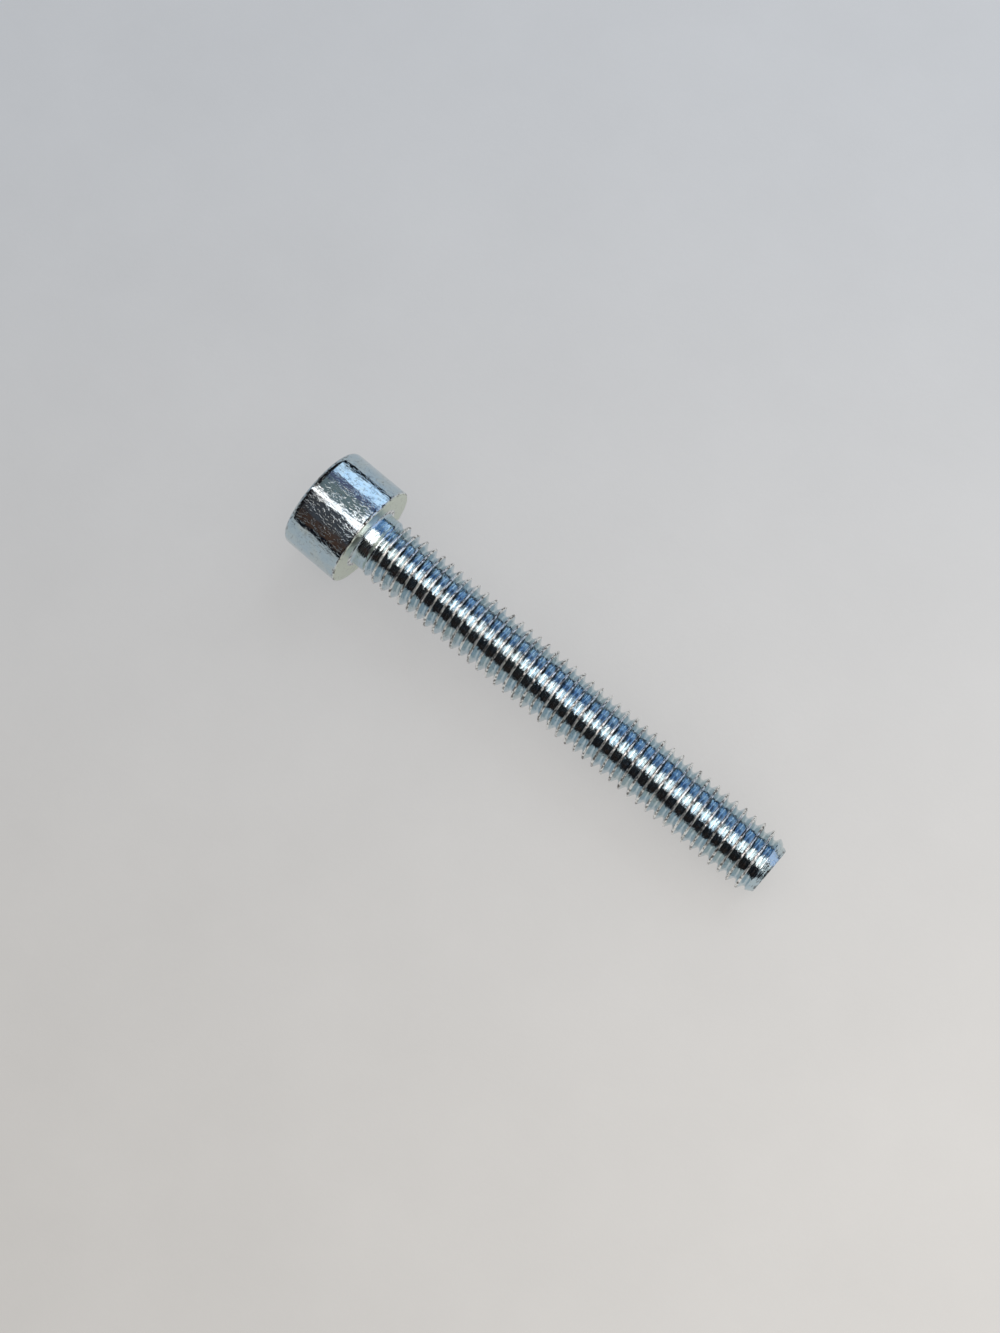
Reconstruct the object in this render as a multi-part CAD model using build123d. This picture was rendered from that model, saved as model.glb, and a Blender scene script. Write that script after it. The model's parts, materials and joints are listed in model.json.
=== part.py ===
"""Hex socket cap screw, M6 x 1, 45 mm under the head, threaded up to the head.

Millimetres, +Z up. The screw is drawn upside down on the Z axis, with its bearing
face at z = 0, its head below and its shank above. It is then laid on the floor
z = 0 as it comes to rest, resting on the head's rim and on the thread's last turn,
with the head towards -X and the tip towards +X.

The shank is drawn as the cylinder that envelops the thread's crests.
"""

import math
import os

from build123d import *

# Head
head_d = 9.9  # outside diameter of the cylindrical head
head_h = 6.0  # height of the head
crown_round = 0.6  # rounding of the head's outer top edge
rim_chamfer = 0.15  # 45 degree chamfer around the bearing face

# Hexagon socket
socket_af = 5.05  # across the flats, for a 5 mm key
socket_depth = 3.1  # depth of the flats
lead_in_margin = 0.135  # how far the lead-in cone reaches past the corners at the top face
lead_in_angle = 45.0  # slope of the lead-in cone from the top face, degrees
drill_margin = 0.075  # how far the drilled point stays inside the flats
drill_angle = 120.0  # included angle of the drilled point, degrees

# Shank
shank_length = 45.0  # from the bearing face to the tip
thread_d = 5.9  # diameter over the crests of the thread
thread_pitch = 1.0  # advance of the thread in one turn
neck_d = 5.35  # plain blank under the head
neck_length = 1.0 * thread_pitch  # plain blank between the bearing face and the run-out
run_out_angle = 30.0  # slope of the crests as they rise out of the neck, degrees
neck_fillet = 0.3  # fillet between the neck and the bearing face

# Tip
tip_d = 4.4  # flat end of the tip
tip_angle = 30.0  # slope of the tip's cone from the axis, degrees

# Rest
rest_turn = 23.8  # how far the lying screw is turned about its own axis, degrees

run_out_length = (thread_d - neck_d) / 2 / math.tan(math.radians(run_out_angle))
tip_length = (thread_d - tip_d) / 2 / math.tan(math.radians(tip_angle))


def circles_at(shape, z):
    """The circular edges of a shape at one height, from the smallest to the largest."""
    circles = shape.edges().filter_by(GeomType.CIRCLE)
    return circles.filter_by(lambda edge: math.isclose(edge.center().Z, z, abs_tol=1e-6)).sort_by(
        SortBy.RADIUS
    )


def head():
    """The head below z = 0, rounded at its top edge and chamfered at its rim."""
    blank = Cylinder(head_d / 2, head_h, align=(Align.CENTER, Align.CENTER, Align.MAX))
    blank = chamfer(circles_at(blank, 0)[-1], rim_chamfer)
    return fillet(circles_at(blank, -head_h)[-1], crown_round)


def shank():
    """The neck, the run-out, the thread's envelope and the cone of the tip."""
    neck_r, thread_r, tip_r = neck_d / 2, thread_d / 2, tip_d / 2
    outline = Polyline(
        (0, 0),
        (neck_r, 0),
        (neck_r, neck_length),
        (thread_r, neck_length + run_out_length),
        (thread_r, shank_length - tip_length),
        (tip_r, shank_length),
        (0, shank_length),
        close=True,
    )
    return revolve(Plane.XZ * make_face(outline), Axis.Z)


def pointed_cone(radius, depth):
    """A full cone with its base at z = 0 and its point at z = depth."""
    return Cone(radius, 0, depth, align=(Align.CENTER, Align.CENTER, Align.MIN))


def socket():
    """The space of the hexagon socket, with its lead-in and its drilled point."""
    flats = extrude(RegularPolygon(socket_af / 2, 6, major_radius=False), socket_depth)
    mouth_r = socket_af / 2 / math.cos(math.pi / 6) + lead_in_margin
    drill_r = socket_af / 2 - drill_margin
    lead_in = pointed_cone(mouth_r, mouth_r * math.tan(math.radians(lead_in_angle)))
    drill_point = pointed_cone(drill_r, drill_r / math.tan(math.radians(drill_angle / 2)))
    return Pos(0, 0, -head_h) * (flats + lead_in + Pos(0, 0, socket_depth) * drill_point)


def cap_screw():
    """The whole screw on the Z axis, as one solid."""
    blank = head() + shank()
    return fillet(circles_at(blank, 0)[0], neck_fillet) - socket()


def rest_tilt():
    """The angle by which the lying axis dips towards the tip, in degrees."""
    reach = shank_length - tip_length + rim_chamfer
    return math.degrees(math.atan((head_d - thread_d) / 2 / reach))


def lying(screw):
    """The screw laid down on z = 0 and centred over the origin."""
    laid = Rot(0, 90 + rest_tilt(), 0) * Rot(0, 0, rest_turn) * screw
    box = laid.bounding_box()
    return Pos(-box.center().X, -box.center().Y, -box.min.Z) * laid


os.makedirs("parts", exist_ok=True)
export_step(lying(cap_screw()), "parts/cap_screw.step")
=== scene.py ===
"""Hex socket cap screw, M6 x 1 x 45 mm, lying on a pale sheet of paper.

The screw is one skin: a hex recess, a cylindrical head and a neck made of rings, a right-hand
thread made by Geometry Nodes, and a chamfered tip. It is built in millimetres along its own
axis, with the bearing face at z = 0 and the tip at +z, then laid down where the frame says.
"""

import json
import logging
import math
from dataclasses import dataclass, field
from enum import Enum
from typing import Any, Mapping, Sequence, Union

import bmesh
import bpy
import numpy as np
from mathutils import Matrix, Vector


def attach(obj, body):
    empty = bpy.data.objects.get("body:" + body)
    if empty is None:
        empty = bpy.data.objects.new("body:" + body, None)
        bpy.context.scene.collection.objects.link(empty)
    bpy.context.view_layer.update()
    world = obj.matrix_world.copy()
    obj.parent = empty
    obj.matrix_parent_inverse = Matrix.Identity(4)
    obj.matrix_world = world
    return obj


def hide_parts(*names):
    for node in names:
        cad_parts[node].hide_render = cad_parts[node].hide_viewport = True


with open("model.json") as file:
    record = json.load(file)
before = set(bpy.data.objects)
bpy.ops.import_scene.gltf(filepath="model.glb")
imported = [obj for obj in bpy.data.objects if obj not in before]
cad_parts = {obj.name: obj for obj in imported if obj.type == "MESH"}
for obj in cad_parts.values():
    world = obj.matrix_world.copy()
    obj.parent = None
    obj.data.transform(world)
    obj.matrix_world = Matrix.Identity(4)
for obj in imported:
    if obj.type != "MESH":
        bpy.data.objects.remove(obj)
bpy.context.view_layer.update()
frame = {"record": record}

LOG = logging.getLogger("cap_screw")
MILLIMETRE = 0.001
NODE = "cap_screw"

Operand = Union["Wire", float]


class Ray(Enum):
    """What the Light Path node tells about a ray."""

    SEEN = "Is Camera Ray"
    MIRRORED = "Is Glossy Ray"
    SOFT_BOUNCES = "Diffuse Depth"


class Wire:
    """One output of a node tree. Arithmetic on it adds Math nodes to that tree."""

    def __init__(self, graph: "Graph", socket: bpy.types.NodeSocket) -> None:
        """Wraps a socket.

        Args:
            graph: the graph that owns the socket.
            socket: the output socket itself.
        """
        self.graph = graph
        self.socket = socket

    def math(self, operation: str, *others: Operand) -> "Wire":
        """Adds a Math node with this wire first.

        Args:
            operation: the Math node's operation.
            others: the values or wires of the node's other inputs.

        Returns:
            The node's result.
        """
        return self.graph.math(operation, self, *others)

    def __add__(self, other: Operand) -> "Wire":
        """The sum."""
        return self.math("ADD", other)

    def __radd__(self, other: float) -> "Wire":
        """The sum, with the number first."""
        return self.math("ADD", other)

    def __sub__(self, other: Operand) -> "Wire":
        """The difference."""
        return self.math("SUBTRACT", other)

    def __rsub__(self, other: float) -> "Wire":
        """The number less this wire."""
        return self.graph.math("SUBTRACT", other, self)

    def __mul__(self, other: Operand) -> "Wire":
        """The product."""
        return self.math("MULTIPLY", other)

    def __rmul__(self, other: float) -> "Wire":
        """The product, with the number first."""
        return self.math("MULTIPLY", other)

    def __truediv__(self, other: Operand) -> "Wire":
        """The quotient."""
        return self.math("DIVIDE", other)

    def __rtruediv__(self, other: float) -> "Wire":
        """The number over this wire."""
        return self.graph.math("DIVIDE", other, self)

    def __pow__(self, other: Operand) -> "Wire":
        """The power."""
        return self.math("POWER", other)

    def __neg__(self) -> "Wire":
        """The same with its sign turned."""
        return self.math("MULTIPLY", -1.0)

    def rise(self, low: Operand, high: Operand) -> "Wire":
        """Goes smoothly from 0 at `low` to 1 at `high`, and stays level outside them.

        Args:
            low: where the rise begins.
            high: where the rise ends.

        Returns:
            A value from 0 to 1.
        """
        return self.graph.node(
            "ShaderNodeMapRange",
            {"interpolation_type": "SMOOTHSTEP"},
            {"Value": self, "From Min": low, "From Max": high},
        )

    def band(self, low: Operand, high: Operand, soft: float) -> "Wire":
        """Is 1 between two limits and fades to 0 outside them.

        Args:
            low: the lower limit, at half strength.
            high: the upper limit, at half strength.
            soft: the width of each fade.

        Returns:
            A value from 0 to 1.
        """
        half = soft / 2
        return self.rise(low - half, low + half) * (1 - self.rise(high - half, high + half))


class Graph:
    """Adds nodes and links to one node tree, of a material, a world or Geometry Nodes."""

    def __init__(self, tree: bpy.types.NodeTree) -> None:
        """Takes over a tree and empties it.

        Args:
            tree: the tree to build in.
        """
        self.tree = tree
        tree.nodes.clear()

    def node(
        self,
        kind: str,
        settings: Mapping[str, Any] | None = None,
        inputs: Mapping[Union[str, int], Any] | None = None,
        output: Union[str, int] = 0,
    ) -> Wire | None:
        """Adds any node.

        Args:
            kind: the node's type name.
            settings: its own properties; "stops" holds a colour ramp's (place, colour) pairs.
            inputs: wires or plain values for its inputs, by name or number.
            output: the output to return, by name or number.

        Returns:
            The chosen output, or None for a node that has no output.
        """
        made = self.tree.nodes.new(kind)
        for name, value in (settings or {}).items():
            if name == "stops":
                self._set_stops(made.color_ramp, value)
            else:
                setattr(made, name, value)
        for key, value in (inputs or {}).items():
            if isinstance(value, Wire):
                self.tree.links.new(value.socket, made.inputs[key])
            else:
                made.inputs[key].default_value = value
        return Wire(self, made.outputs[output]) if len(made.outputs) else None

    @staticmethod
    def _set_stops(ramp: bpy.types.ColorRamp, stops: Sequence[tuple[float, Sequence[float]]]) -> None:
        """Replaces a ramp's stops.

        Args:
            ramp: the ramp to fill.
            stops: (place, colour) pairs from left to right.
        """
        while len(ramp.elements) < len(stops):
            ramp.elements.new(1.0)
        for element, (place, colour) in zip(ramp.elements, stops):
            element.position = place
            element.color = (*colour, 1.0)

    def math(self, operation: str, *operands: Operand) -> Wire:
        """Adds a Math node.

        Args:
            operation: the node's operation.
            operands: its inputs in order.

        Returns:
            The node's result.
        """
        return self.node("ShaderNodeMath", {"operation": operation}, dict(enumerate(operands)))

    def mix(self, factor: Operand, first: Any, second: Any) -> Wire:
        """Mixes two colours.

        Args:
            factor: 0 gives the first colour and 1 the second.
            first: a colour or a wire.
            second: a colour or a wire.

        Returns:
            The mixed colour.
        """
        ends = [end if isinstance(end, Wire) else (*end, 1.0) for end in (first, second)]
        return self.node(
            "ShaderNodeMix", {"data_type": "RGBA"}, {0: factor, 6: ends[0], 7: ends[1]}, output=2
        )

    def noise(self, place: Wire, scale: float, detail: float = 2.0, rough: float = 0.5) -> Wire:
        """Adds a noise pattern.

        Args:
            place: the coordinates it reads.
            scale: how many times it repeats in one unit.
            detail: how many finer layers it has.
            rough: how strong the finer layers are.

        Returns:
            The pattern, around 0.5.
        """
        return self.node(
            "ShaderNodeTexNoise",
            {},
            {"Vector": place, "Scale": scale, "Detail": detail, "Roughness": rough},
        )

    def stretch(self, place: Wire, scale: Sequence[float]) -> Wire:
        """Scales coordinates along each axis.

        Args:
            place: the coordinates.
            scale: the factor along x, y and z.

        Returns:
            The scaled coordinates.
        """
        return self.node(
            "ShaderNodeVectorMath", {"operation": "MULTIPLY"}, {0: place, 1: tuple(scale)}
        )

    def dot(self, place: Wire, direction: Sequence[float]) -> Wire:
        """Measures coordinates along a direction.

        Args:
            place: the coordinates.
            direction: the direction to measure along.

        Returns:
            The distance along it.
        """
        return self.node(
            "ShaderNodeVectorMath",
            {"operation": "DOT_PRODUCT"},
            {0: place, 1: tuple(direction)},
            output="Value",
        )

    def split(self, place: Wire) -> tuple[Wire, Wire, Wire]:
        """Splits coordinates into x, y and z.

        Args:
            place: the coordinates.

        Returns:
            Three wires.
        """
        first = self.node("ShaderNodeSeparateXYZ", {}, {0: place}, output=0)
        outputs = first.socket.node.outputs
        return first, Wire(self, outputs[1]), Wire(self, outputs[2])


@dataclass(frozen=True)
class Place:
    """Where the screw lies: its own axes, in millimetres, against the frame, in metres."""

    origin: Vector
    axis: Vector

    @classmethod
    def from_record(cls, record: Mapping[str, Any]) -> "Place":
        """Reads the bearing face's centre and the screw's axis from the record's mounts.

        Args:
            record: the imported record.

        Returns:
            The place of the bearing face's centre.
        """
        mounts = {mount["name"]: mount for mount in record["mounts"]}
        axis = Vector(mounts["thread_shank"]["axis"]).normalized()
        shank = Vector(mounts["thread_shank"]["pos_m"])
        seat = Vector(mounts["seat_face"]["pos_m"])
        return cls(shank + axis * (seat - shank).dot(axis), axis)

    def turn(self) -> Matrix:
        """The rotation from the screw's own axes to the frame's, with its x axis upwards."""
        side = Vector((0, 0, 1)).cross(self.axis).normalized() * -1
        up = side.cross(self.axis)
        return Matrix((up, side, self.axis)).transposed()

    def matrix(self) -> Matrix:
        """The whole move from the screw's own millimetres to the frame's metres."""
        scale = Matrix.Scale(MILLIMETRE, 4)
        return Matrix.Translation(self.origin) @ self.turn().to_4x4() @ scale


@dataclass(frozen=True)
class Corner:
    """One corner of an outline: its height along the axis, its radius and its rounding, in mm."""

    z: float
    r: float
    rounding: float = 0.0


def rounded(corners: Sequence[Corner], steps: int = 5) -> list[complex]:
    """Draws an outline and replaces its rounded corners by arcs.

    Args:
        corners: the corners in order.
        steps: how many edges each arc has.

    Returns:
        The points, with z as the real part and the radius as the imaginary part.
    """
    places = [complex(corner.z, corner.r) for corner in corners]
    points = [places[0]]
    for before, here, after, corner in zip(places, places[1:], places[2:], corners[1:]):
        into, out = (here - before) / abs(here - before), (after - here) / abs(after - here)
        bend = math.atan2((out / into).imag, (out / into).real)
        if not corner.rounding or math.isclose(bend, 0, abs_tol=1e-6):
            points.append(here)
            continue
        start = here - into * corner.rounding * abs(math.tan(bend / 2))
        centre = start + into * 1j * math.copysign(corner.rounding, bend)
        for step in range(steps + 1):
            swing = bend * step / steps
            points.append(centre + (start - centre) * complex(math.cos(swing), math.sin(swing)))
    points.append(places[-1])
    return points


@dataclass
class Skin:
    """A closed skin made of rings around the z axis, all with the same number of points."""

    segments: int
    mesh: bmesh.types.BMesh = field(default_factory=bmesh.new)
    last: list[bmesh.types.BMVert] = field(default_factory=list)

    def angles(self) -> np.ndarray:
        """The angle of each point of a ring."""
        return np.arange(self.segments) * (2 * math.pi / self.segments)

    def pole(self, z: float) -> None:
        """Starts or ends a run of rings with one point on the axis.

        Args:
            z: the height of the point.
        """
        self._join([self.mesh.verts.new((0, 0, z))])

    def ring(self, z: Union[float, np.ndarray], r: Union[float, np.ndarray]) -> None:
        """Adds a ring and joins it to the one before.

        Args:
            z: the height, the same all round or one for each point.
            r: the radius, the same all round or one for each point.
        """
        angle = self.angles()
        z, r = np.broadcast_to(z, angle.shape), np.broadcast_to(r, angle.shape)
        points = np.stack([r * np.cos(angle), r * np.sin(angle), z], axis=1)
        self._join([self.mesh.verts.new(point) for point in points])

    def _join(self, new: list[bmesh.types.BMVert]) -> None:
        """Joins new points to the last ring and keeps them as the last ring.

        Args:
            new: the points of the new ring, or the one point of a pole.
        """
        old = self.last
        for here in range(self.segments if old else 0):
            there = (here + 1) % self.segments
            around = [old[here % len(old)], old[there % len(old)]]
            around += [new[there % len(new)], new[here % len(new)]]
            self.mesh.faces.new(dict.fromkeys(around))
        self.last = new

    def break_off(self) -> None:
        """Starts the next run of rings apart from this one."""
        self.last = []

    def add(self, mesh: bpy.types.Mesh) -> None:
        """Adds a finished mesh to the skin.

        Args:
            mesh: the mesh, in the same axes.
        """
        self.mesh.from_mesh(mesh)
        self.break_off()

    def close(self, weld: float) -> None:
        """Welds the runs together and turns every face outwards.

        Args:
            weld: points nearer than this become one.
        """
        bmesh.ops.remove_doubles(self.mesh, verts=self.mesh.verts, dist=weld)
        bmesh.ops.recalc_face_normals(self.mesh, faces=self.mesh.faces)

    def shade(self, crease: float, thread: tuple[float, float]) -> None:
        """Shades the skin smooth, apart from its sharp edges outside the thread.

        Args:
            crease: edges that turn by more than this stay sharp, in degrees.
            thread: the heights between which nothing is sharp.
        """
        for face in self.mesh.faces:
            face.smooth = True
        for edge in self.mesh.edges:
            inside = all(thread[0] < vert.co.z < thread[1] for vert in edge.verts)
            edge.smooth = inside or edge.calc_face_angle(0.0) < math.radians(crease)


@dataclass
class HexRecess:
    """The hexagon socket in the end of the head, in mm."""

    across_flats: float = 5.05
    depth: float = 3.1
    lead_in_margin: float = 0.135
    lead_in_slope: float = 1.0
    drill_margin: float = 0.075
    drill_angle: float = 120.0

    def mouth_radius(self) -> float:
        """The radius of the lead-in cone at the end face of the head."""
        return self.across_flats / 2 / math.cos(math.pi / 6) + self.lead_in_margin

    def wall_radius(self, angle: np.ndarray) -> np.ndarray:
        """The distance from the axis to the flats.

        Args:
            angle: the angle of each point about the axis.

        Returns:
            The distance at each angle.
        """
        off_flat = np.mod(angle, math.pi / 3) - math.pi / 6
        return self.across_flats / 2 / np.cos(off_flat)

    def add_to(self, skin: Skin, face: float) -> None:
        """Adds the recess, from its drilled point out to its mouth.

        Args:
            skin: the skin to add to.
            face: the height of the end face of the head.
        """
        floor = face + self.depth
        drill = self.across_flats / 2 - self.drill_margin
        walls = self.wall_radius(skin.angles())
        skin.pole(floor + drill / math.tan(math.radians(self.drill_angle / 2)))
        skin.ring(floor, drill)
        skin.ring(floor, walls)
        skin.ring(face + (self.mouth_radius() - walls) * self.lead_in_slope, walls)


@dataclass
class Head:
    """The cylindrical head and the smooth neck under it, in mm."""

    radius: float
    height: float
    neck_radius: float = 2.675
    neck_length: float = 1.0
    crown_round: float = 0.6
    rim_chamfer: float = 0.15
    edge_round: float = 0.05
    neck_fillet: float = 0.3
    recess: HexRecess = field(default_factory=HexRecess)

    def add_to(self, skin: Skin) -> None:
        """Adds the recess, the head, the bearing face and the neck.

        Args:
            skin: the skin to add to.
        """
        self.recess.add_to(skin, -self.height)
        outline = [
            Corner(-self.height, self.recess.mouth_radius()),
            Corner(-self.height, self.radius, self.crown_round),
            Corner(-self.rim_chamfer, self.radius, self.edge_round),
            Corner(0, self.radius - self.rim_chamfer, self.edge_round),
            Corner(0, self.neck_radius, self.neck_fillet),
            Corner(self.neck_length, self.neck_radius),
        ]
        for point in rounded(outline):
            skin.ring(point.real, point.imag)
        skin.break_off()


@dataclass
class Tip:
    """The cone and the flat end of the shank, in mm."""

    length: float
    radius: float = 2.2
    slope: float = math.tan(math.radians(30))
    edge_round: float = 0.08

    def cone_radius(self, z: float) -> float:
        """The radius of the cone at one height.

        Args:
            z: the height from the bearing face.

        Returns:
            The radius there.
        """
        return self.radius + (self.length - z) * self.slope

    def add_to(self, skin: Skin, start: float) -> None:
        """Adds the last stretch of the cone and the end face.

        Args:
            skin: the skin to add to.
            start: the height at which the thread's own mesh ends.
        """
        outline = [
            Corner(start, self.cone_radius(start)),
            Corner(self.length, self.radius, self.edge_round),
            Corner(self.length, self.radius / 2),
        ]
        for point in rounded(outline):
            skin.ring(point.real, point.imag)
        skin.pole(self.length)


@dataclass
class Thread:
    """The rolled right-hand thread, made by Geometry Nodes, in mm."""

    crest_radius: float
    neck_radius: float
    start: float
    end: float
    tip: Tip
    segments: int
    pitch: float = 1.0
    depth: float = 0.61
    crest_width: float = 0.1
    crest_soft: float = 0.1
    root_soft: float = 0.2
    run_out: float = 1.05
    crest_phase: float = 0.3467
    rows_per_pitch: int = 16
    unevenness: float = 0.012
    seed: float = 7.0

    def inputs(self) -> dict[str, float]:
        """The named sizes that the node tree takes."""
        return {
            "Pitch": self.pitch,
            "Crest Radius": self.crest_radius,
            "Root Radius": self.crest_radius - self.depth,
            "Neck Radius": self.neck_radius,
            "Start": self.start,
            "End": self.end,
            "Run Out": self.run_out,
            "Crest Width": self.crest_width,
            "Crest Softness": self.crest_soft,
            "Root Softness": self.root_soft,
            "Crest Phase": self.crest_phase,
            "Tip Radius": self.tip.radius,
            "Tip Slope": self.tip.slope,
            "Length": self.tip.length,
            "Unevenness": self.unevenness,
            "Seed": self.seed,
        }

    def tree(self, finish: bpy.types.Material) -> bpy.types.GeometryNodeTree:
        """Builds the node tree, which winds a flat grid into the thread.

        Args:
            finish: the material of the thread.

        Returns:
            The tree, with one input for each named size.
        """
        tree = bpy.data.node_groups.new("Rolled thread", "GeometryNodeTree")
        for name in self.inputs():
            tree.interface.new_socket(name=name, in_out="INPUT", socket_type="NodeSocketFloat")
        tree.interface.new_socket(name="Mesh", in_out="OUTPUT", socket_type="NodeSocketGeometry")
        graph = Graph(tree)
        source = graph.node("NodeGroupInput").socket.node.outputs
        size = {name: Wire(graph, source[name]) for name in self.inputs()}

        turns = math.ceil((self.end - self.start) / self.pitch) + 1
        grid = graph.node(
            "GeometryNodeMeshGrid",
            {},
            {
                "Size X": 1.0,
                "Size Y": 1.0,
                "Vertices X": self.segments + 1,
                "Vertices Y": turns * self.rows_per_pitch + 1,
            },
        )
        across, along, _ = graph.split(graph.node("GeometryNodeInputPosition"))
        turn_share = across + 0.5
        pitches = size["Start"] / size["Pitch"] + (along + 0.5) * turns
        height = size["Pitch"] * (pitches + turn_share - 1)
        height = height.math("MAXIMUM", size["Start"]).math("MINIMUM", size["End"])
        angle = turn_share * (2 * math.pi)
        around = [angle.math("COSINE"), angle.math("SINE")]
        radius = self._radius(graph, size, pitches, height, around)
        wound = graph.node(
            "GeometryNodeSetPosition",
            {},
            {
                "Geometry": grid,
                "Position": graph.node(
                    "ShaderNodeCombineXYZ", {}, {0: around[0] * radius, 1: around[1] * radius, 2: height}
                ),
            },
        )
        welded = graph.node("GeometryNodeMergeByDistance", {}, {"Geometry": wound, "Distance": 0.002})
        real = graph.node("GeometryNodeRealizeInstances", {}, {"Geometry": welded})
        dressed = graph.node("GeometryNodeSetMaterial", {}, {"Geometry": real, "Material": finish})
        graph.node("NodeGroupOutput", {}, {"Mesh": dressed})
        return tree

    @staticmethod
    def _radius(
        graph: Graph, size: Mapping[str, Wire], pitches: Wire, height: Wire, around: Sequence[Wire]
    ) -> Wire:
        """Works out the thread's radius at each point of the grid.

        Args:
            graph: the tree being built.
            size: the named sizes.
            pitches: how many pitches along a point lies, the same along each helix.
            height: the height of a point.
            around: the cosine and sine of its angle.

        Returns:
            The radius.
        """
        ripple = graph.node(
            "ShaderNodeTexNoise",
            {"noise_dimensions": "4D"},
            {
                "Vector": graph.node(
                    "ShaderNodeCombineXYZ", {}, {0: around[0] * 3.0, 1: around[1] * 3.0, 2: height}
                ),
                "W": size["Seed"],
                "Scale": 1.3,
                "Detail": 2.0,
            },
        )
        crest = size["Crest Radius"] - size["Unevenness"] * ripple * 2
        phase = (pitches - size["Crest Phase"] + 0.5).math("FRACT")
        off_crest = (phase - 0.5).math("ABSOLUTE") * size["Pitch"]
        flank = crest - (off_crest - size["Crest Width"] / 2) * math.tan(math.radians(60))
        groove = flank.math("SMOOTH_MAX", size["Root Radius"], size["Root Softness"])
        full = groove.math("SMOOTH_MIN", crest, size["Crest Softness"])
        rising = height.rise(size["Start"], size["Start"] + size["Run Out"])
        cut = size["Neck Radius"] + (full - size["Neck Radius"]) * rising
        cone = size["Tip Radius"] + (size["Length"] - height) * size["Tip Slope"]
        return cut.math("SMOOTH_MIN", cone, 0.04)

    def mesh(self, finish: bpy.types.Material) -> bpy.types.Mesh:
        """Runs the tree and keeps its result as a plain mesh.

        Args:
            finish: the material of the thread.

        Returns:
            The thread between its two end rings.
        """
        tree = self.tree(finish)
        carrier = bpy.data.objects.new("thread_carrier", bpy.data.meshes.new("thread_carrier"))
        bpy.context.scene.collection.objects.link(carrier)
        modifier = carrier.modifiers.new("Rolled thread", "NODES")
        modifier.node_group = tree
        sizes = self.inputs()
        for item in tree.interface.items_tree:
            if item.name in sizes:
                modifier[item.identifier] = float(sizes[item.name])
        evaluated = carrier.evaluated_get(bpy.context.evaluated_depsgraph_get())
        mesh = bpy.data.meshes.new_from_object(evaluated)
        carrier.modifiers.remove(modifier)
        bpy.data.objects.remove(carrier)
        return mesh


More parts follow.
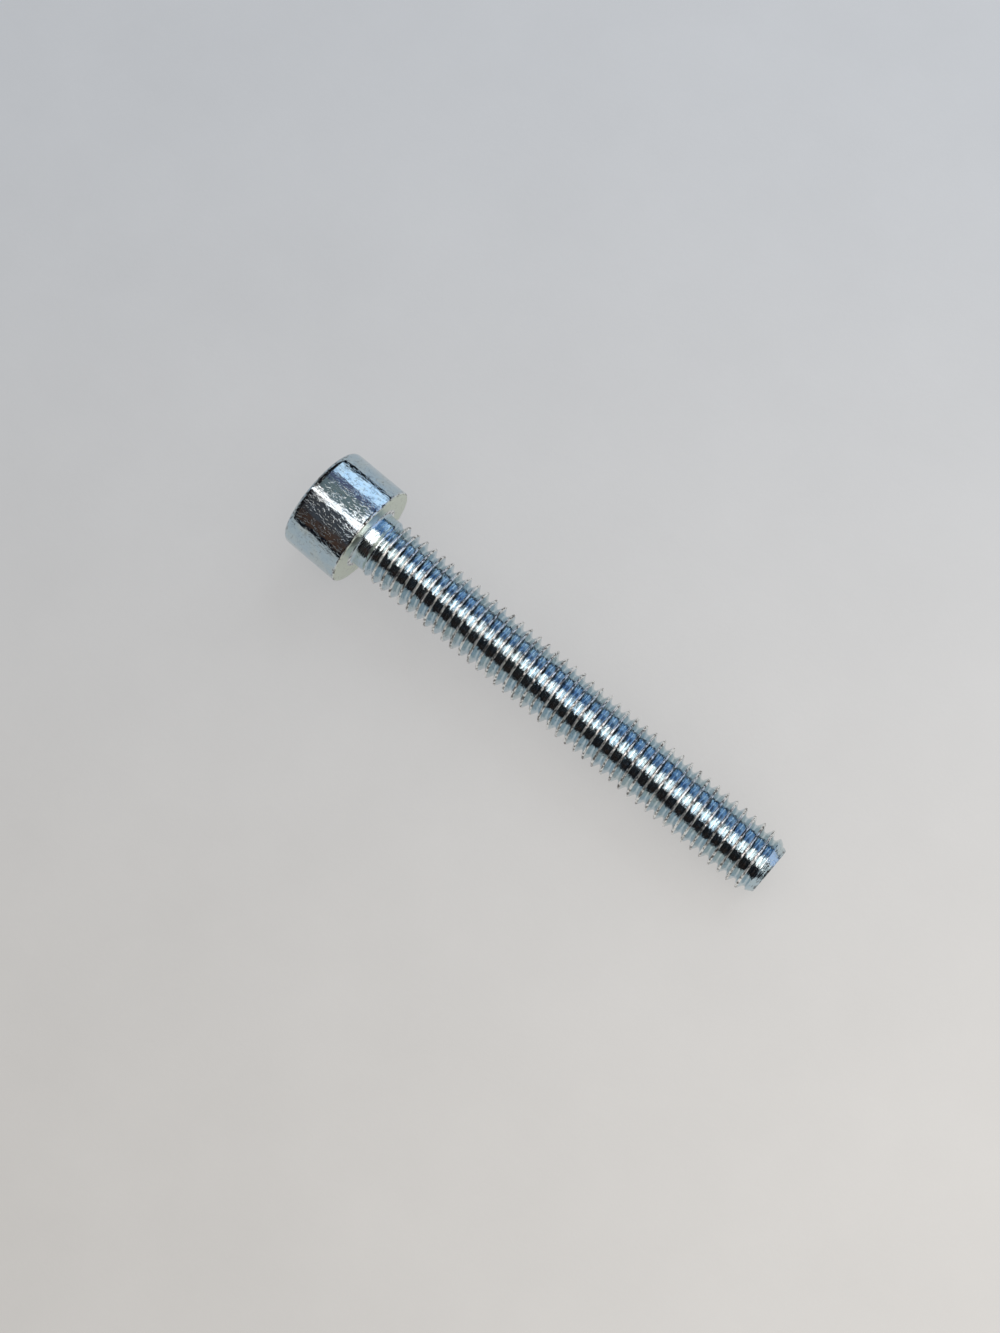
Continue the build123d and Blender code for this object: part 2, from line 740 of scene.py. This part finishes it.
@dataclass(frozen=True)
class ZincPlate:
    """Bright zinc plating with a faint blue passivation, dark specks, and painted shade on the crests
    and along the rims.
    """

    name: str = "bright zinc plate"
    pale: tuple[float, float, float] = (0.57, 0.66, 0.68)
    blue: tuple[float, float, float] = (0.50, 0.63, 0.71)
    seat: tuple[float, float, float] = (0.74, 0.79, 0.68)
    worn: tuple[float, float, float] = (0.97, 0.98, 0.96)
    # Dark colour of the specks, also used as painted shade on the thread's crests and along the rims.
    speck_and_painted_shade: tuple[float, float, float] = (0.10, 0.095, 0.09)
    # Bands (from, to, inner radius) of painted shade: the crown's rounding, the rim by the bearing face
    # and the edge of the tip.
    edges: tuple[tuple[float, float, float], ...] = (
        (-6.2, -5.6, 4.4),
        (-0.3, -0.02, 4.75),
        (44.8, 45.1, 2.0),
    )
    polish: float = 0.05
    dull: float = 0.24
    crest_roughness: float = 0.30
    grain_height: float = 0.002
    drawn_height: float = 0.024
    scratch_height: float = 0.0055
    turned_height: float = 0.080
    wave_height: float = 0.01

    def material(self, place: Place) -> bpy.types.Material:
        """Builds the material.

        Args:
            place: the screw's place, which its patterns follow.

        Returns:
            The material.
        """
        material = bpy.data.materials.new(self.name)
        material.use_nodes = True
        graph = Graph(material.node_tree)
        local = graph.node(
            "ShaderNodeMapping",
            {"vector_type": "TEXTURE"},
            {
                "Vector": graph.node("ShaderNodeTexCoord", output="Object"),
                "Location": place.origin,
                "Rotation": place.turn().to_euler(),
                "Scale": (MILLIMETRE,) * 3,
            },
        )
        x, y, z = graph.split(local)
        radius = (x * x + y * y).math("SQRT")
        on_seat = z.band(-0.1, 0.14, 0.06) * radius.rise(3.0, 3.2)
        on_head = 1 - z.rise(-0.3, 0.0)
        on_crest = radius.rise(2.77, 2.85) * (1 - on_head) * (1 - on_seat)

        drawn = graph.noise(graph.stretch(local, (1.0, 1.0, 0.4)), 2.3, 2.0, 0.5)
        scratch = graph.noise(graph.stretch(local, (1.0, 1.0, 0.45)), 4.4, 3.0, 0.6)
        scratch = scratch.rise(0.53, 0.60)
        turned = graph.noise(graph.stretch(local, (0.6, 0.6, 2.4)), 1.8, 3.0, 0.6)
        grain = graph.noise(local, 8.0, 3.0, 0.6)
        waves = graph.noise(local, 0.9, 1.0)
        clouds = graph.noise(local, 0.55, 3.0, 0.6)
        specks = graph.noise(graph.stretch(local, (1.0, 1.0, 2.0)), 2.6, 3.0, 0.7)

        colour = graph.mix(clouds.rise(0.35, 0.65), self.pale, self.blue)
        colour = graph.mix(on_seat, colour, self.seat)
        colour = graph.mix(on_crest, colour, self.worn)
        # Dark specks all over. On the crests, and along the rims in the loop below, the same dark colour
        # is painted shade that stands in for dark reflections.
        speck_and_shade_share = specks.rise(0.49, 0.55) * on_crest * 0.9 + specks.rise(0.60, 0.66) * 0.5
        for low, high, inner in self.edges:
            painted_rim_shade = z.band(low, high, 0.1) * radius.rise(inner, inner + 0.1)
            speck_and_shade_share = speck_and_shade_share + specks.rise(0.48, 0.58) * painted_rim_shade * 0.75
        # Mixes in the dark colour: specks, and painted shade on the crests and rims.
        colour = graph.mix(speck_and_shade_share.math("MINIMUM", 1.0), colour, self.speck_and_painted_shade)
        rough = self.polish + (self.dull - self.polish) * grain.rise(0.5, 0.8)
        rough = rough + on_seat * 0.3 + on_crest * (self.crest_roughness - self.polish)
        height = (drawn * self.drawn_height + scratch * self.scratch_height) * on_head
        height = height + turned * ((1 - on_head) * self.turned_height)
        height = height + grain * self.grain_height + waves * (on_head * self.wave_height)
        bump = graph.node(
            "ShaderNodeBump",
            {},
            {"Height": height, "Distance": MILLIMETRE, "Strength": 1.0},
        )
        shader = graph.node(
            "ShaderNodeBsdfPrincipled",
            {},
            {"Base Color": colour, "Metallic": 1.0, "Roughness": rough, "Normal": bump},
        )
        graph.node("ShaderNodeOutputMaterial", {}, {"Surface": shader})
        return material


@dataclass
class CapScrew:
    """The whole screw as one skin."""

    place: Place
    head: Head
    thread: Thread
    tip: Tip
    finish: ZincPlate = field(default_factory=ZincPlate)
    weld: float = 0.002
    crease: float = 38.0

    @classmethod
    def from_record(
        cls, record: Mapping[str, Any], shank_length: float = 45.0, segments: int = 96
    ) -> "CapScrew":
        """Takes the sizes that the record states and puts the screw where it says.

        Args:
            record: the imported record.
            shank_length: from the bearing face to the tip.
            segments: how many points go round the screw.

        Returns:
            The screw, ready to build.
        """
        place = Place.from_record(record)
        mounts = {mount["name"]: mount for mount in record["mounts"]}
        mouth = Vector(mounts["hex_socket"]["pos_m"])
        head = Head(
            radius=mounts["head_side"]["dims"]["r_mm"],
            height=(place.origin - mouth).length / MILLIMETRE,
        )
        tip = Tip(length=shank_length)
        thread = Thread(
            crest_radius=mounts["thread_shank"]["dims"]["r_mm"],
            neck_radius=head.neck_radius,
            start=head.neck_length,
            end=tip.length - 0.1,
            tip=tip,
            segments=segments,
        )
        return cls(place, head, thread, tip)

    def build(self) -> bpy.types.Object:
        """Builds the screw's mesh and dresses it.

        Returns:
            The finished object, at the origin, with its place in its mesh.
        """
        finish = self.finish.material(self.place)
        skin = Skin(self.thread.segments)
        self.head.add_to(skin)
        skin.add(self.thread.mesh(finish))
        self.tip.add_to(skin, self.thread.end)
        skin.close(self.weld)
        skin.shade(self.crease, (self.thread.start, self.thread.end))
        mesh = bpy.data.meshes.new("cap_screw_skin")
        skin.mesh.to_mesh(mesh)
        skin.mesh.free()
        mesh.transform(self.place.matrix())
        mesh.materials.clear()
        mesh.materials.append(finish)
        screw = bpy.data.objects.new("cap_screw_skin", mesh)
        bpy.context.scene.collection.objects.link(screw)
        return screw


@dataclass(frozen=True)
class Paper:
    """A pale sheet with faint fibres and painted light: cooler at the back, warmer at the front and
    brighter to the right, as the light falls on it.
    """

    name: str = "pale paper"
    # Painted light: the cool tint at the back and the warm one at the front stand in for the colour of
    # the light falling there.
    back: tuple[float, float, float] = (0.540, 0.560, 0.590)
    front: tuple[float, float, float] = (0.660, 0.640, 0.615)
    spread: float = 0.075
    # How strongly painted light brightens the sheet to the right and darkens it to the left.
    painted_light_gain: float = 0.16
    glow: float = 0.65
    right: tuple[float, float, float] = (0.76, 0.65, 0.0)
    down: tuple[float, float, float] = (0.65, -0.76, 0.0)

    def material(self) -> bpy.types.Material:
        """Builds the material.

        Returns:
            The material.
        """
        material = bpy.data.materials.new(self.name)
        material.use_nodes = True
        graph = Graph(material.node_tree)
        place = graph.node("ShaderNodeTexCoord", output="Object")
        down = graph.dot(place, self.down).rise(-self.spread, self.spread * 0.75)
        right = graph.dot(place, self.right).rise(-self.spread, self.spread)
        mottle = graph.noise(place, 900.0, 4.0, 0.6)
        cloud = graph.noise(place, 60.0, 5.0, 0.65)
        # Painted light: brighter to the right and darker to the left, more so at the front. The cloud
        # adds random tone.
        level = 1 + (right - 0.5) * (down + 1) * self.painted_light_gain + (cloud - 0.5) * 0.10
        colour = graph.node(
            "ShaderNodeVectorMath",
            {"operation": "SCALE"},
            {0: graph.mix(down, self.back, self.front), "Scale": level},
        )
        bump = graph.node("ShaderNodeBump", {}, {"Height": mottle, "Distance": 0.00003})
        shader = graph.node(
            "ShaderNodeBsdfPrincipled",
            {},
            {"Base Color": colour, "Roughness": 0.8, "Specular IOR Level": 0.2, "Normal": bump},
        )
        rays = graph.node("ShaderNodeLightPath").socket.node.outputs
        shown = Wire(graph, rays[Ray.SEEN.value]).math("MAXIMUM", Wire(graph, rays[Ray.MIRRORED.value]))
        lit = graph.node("ShaderNodeEmission", {}, {"Color": colour, "Strength": 1.0})
        sheet = graph.node("ShaderNodeMixShader", {}, {0: shown * self.glow, 1: shader, 2: lit})
        graph.node("ShaderNodeOutputMaterial", {}, {"Surface": sheet})
        return material


@dataclass
class Studio:
    """The sheet, the light and the camera."""

    sheet_size: float = 4.0
    ambient: tuple[float, float, float] = (0.80, 0.79, 0.78)
    window_colour: tuple[float, float, float] = (0.85, 0.93, 1.0)
    window_size: tuple[float, float] = (0.5, 0.35)
    window_distance: float = 0.6
    window_lean: float = -50.0
    window_power: float = 1.0
    sheet: Paper = field(default_factory=Paper)
    lens: float = 62.62
    target: tuple[float, float, float] = (-0.00342669, -0.00135152, 0.004)
    distance: float = 0.2007074
    elevation: float = 74.008
    heading: float = 130.552

    def lay_sheet(self) -> bpy.types.Object:
        """Lays the sheet that the screw rests on.

        Returns:
            The sheet.
        """
        skin = bmesh.new()
        bmesh.ops.create_grid(skin, x_segments=1, y_segments=1, size=self.sheet_size / 2)
        mesh = bpy.data.meshes.new("sheet")
        skin.to_mesh(mesh)
        skin.free()
        mesh.materials.append(self.sheet.material())
        sheet = bpy.data.objects.new("sheet", mesh)
        bpy.context.scene.collection.objects.link(sheet)
        return sheet

    def light(self) -> None:
        """Sets up the world, which lights the sheet evenly and gives the metal a room to mirror."""
        world = bpy.data.worlds.new("soft room")
        bpy.context.scene.world = world
        world.use_nodes = True
        graph = Graph(world.node_tree)
        rays = graph.node("ShaderNodeLightPath").socket.node.outputs
        mirrored = Wire(graph, rays[Ray.MIRRORED.value])
        softened = Wire(graph, rays[Ray.SOFT_BOUNCES.value]).math("MINIMUM", 1.0)
        colour = graph.mix(mirrored * (1 - softened), self.ambient, self.room(graph))
        back = graph.node("ShaderNodeBackground", {}, {"Color": colour, "Strength": 1.0})
        graph.node("ShaderNodeOutputWorld", {}, {"Surface": back})

    @staticmethod
    def room(graph: Graph) -> Wire:
        """Paints the room that the metal mirrors: a window, a ceiling light and darker walls.

        Args:
            graph: the world's graph.

        Returns:
            The colour in each direction.
        """
        x, y, z = graph.split(graph.node("ShaderNodeTexCoord", output="Generated"))
        lean = graph.math("ARCTAN2", -y, z) * (180 / math.pi)
        open_side = x.rise(-0.11, -0.08)

        far = graph.mix(open_side, (0.125, 0.135, 0.215), (0.085, 0.24, 0.51))
        near = graph.mix(open_side, (0.080, 0.044, 0.032), (0.016, 0.012, 0.011))
        grey = graph.mix(open_side, (0.070, 0.068, 0.075), (0.012, 0.010, 0.010))
        room = graph.mix(lean.rise(50, 62), grey, near)
        room = graph.mix(1 - lean.rise(-8, 8), room, far)
        cloudy = lean.band(-30, 4, 6) * (1 - open_side)
        room = graph.mix(cloudy, room, (0.19, 0.23, 0.24))
        window = lean.band(-81, -46, 4) * (1 - open_side)
        room = graph.mix(window, room, (0.98, 1.18, 1.42))
        to_right = x.rise(0.35, 0.5)
        room = graph.mix(to_right, room, (0.010, 0.010, 0.014))
        room = graph.mix(to_right * (1 - lean.rise(-35, -22)), room, (0.60, 0.72, 1.0))
        room = graph.mix((-x).rise(0.3, 0.45), room, (0.014, 0.012, 0.013))
        ceiling = lean.band(3 - open_side * 23, 15 + open_side * 13, 4) * (1 - x.rise(0.6, 0.7))
        shine = graph.mix(open_side, (2.3, 2.05, 2.0), (3.5, 3.1, 2.95))
        room = graph.mix(ceiling, room, shine)
        room = graph.mix(x.rise(0.92, 0.96), room, (1.2, 1.25, 1.25))
        horizon = (1 - z.math("ABSOLUTE").rise(0.16, 0.22)) * (1 - x.rise(0.6, 0.8))
        return graph.mix(horizon, room, (0.005, 0.007, 0.011))

    def hang_window(self) -> bpy.types.Object:
        """Hangs the soft window that gives the sheet its faint shadow.

        Returns:
            The lamp.
        """
        data = bpy.data.lights.new("window", "AREA")
        data.shape = "RECTANGLE"
        data.size, data.size_y = self.window_size
        data.energy = self.window_power
        data.color = self.window_colour
        lamp = bpy.data.objects.new("window", data)
        bpy.context.scene.collection.objects.link(lamp)
        lean = math.radians(self.window_lean)
        lamp.rotation_euler = (lean, 0, 0)
        lamp.location = Vector((0, -math.sin(lean), math.cos(lean))) * self.window_distance
        lamp.visible_glossy = False
        return lamp

    def aim(self) -> bpy.types.Object:
        """Places the camera.

        Returns:
            The camera, already made the scene's own.
        """
        data = bpy.data.cameras.new("camera")
        data.lens = self.lens
        data.clip_start = 0.005
        camera = bpy.data.objects.new("camera", data)
        bpy.context.scene.collection.objects.link(camera)
        bpy.context.scene.camera = camera
        rise, swing = math.radians(self.elevation), math.radians(self.heading)
        forward = Vector(
            (math.cos(rise) * math.cos(swing), math.cos(rise) * math.sin(swing), -math.sin(rise))
        )
        camera.rotation_euler = forward.to_track_quat("-Z", "Y").to_euler()
        camera.location = Vector(self.target) - forward * self.distance
        return camera


def main() -> None:
    """Builds the screw and its studio, and reports each piece."""
    logging.basicConfig(level=logging.INFO, format="%(name)s: %(message)s")
    screw = CapScrew.from_record(frame["record"]).build()
    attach(screw, "root")
    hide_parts(NODE)
    triangles = sum(len(face.vertices) - 2 for face in screw.data.polygons)
    LOG.info("%s stands for %s with %d triangles", screw.name, NODE, triangles)

    studio = Studio()
    sheet = studio.lay_sheet()
    LOG.info("%s is laid under it", sheet.name)
    studio.light()
    studio.hang_window()
    studio.aim()
    bpy.context.scene.view_settings.view_transform = "Standard"


if __name__ == "__main__":
    main()
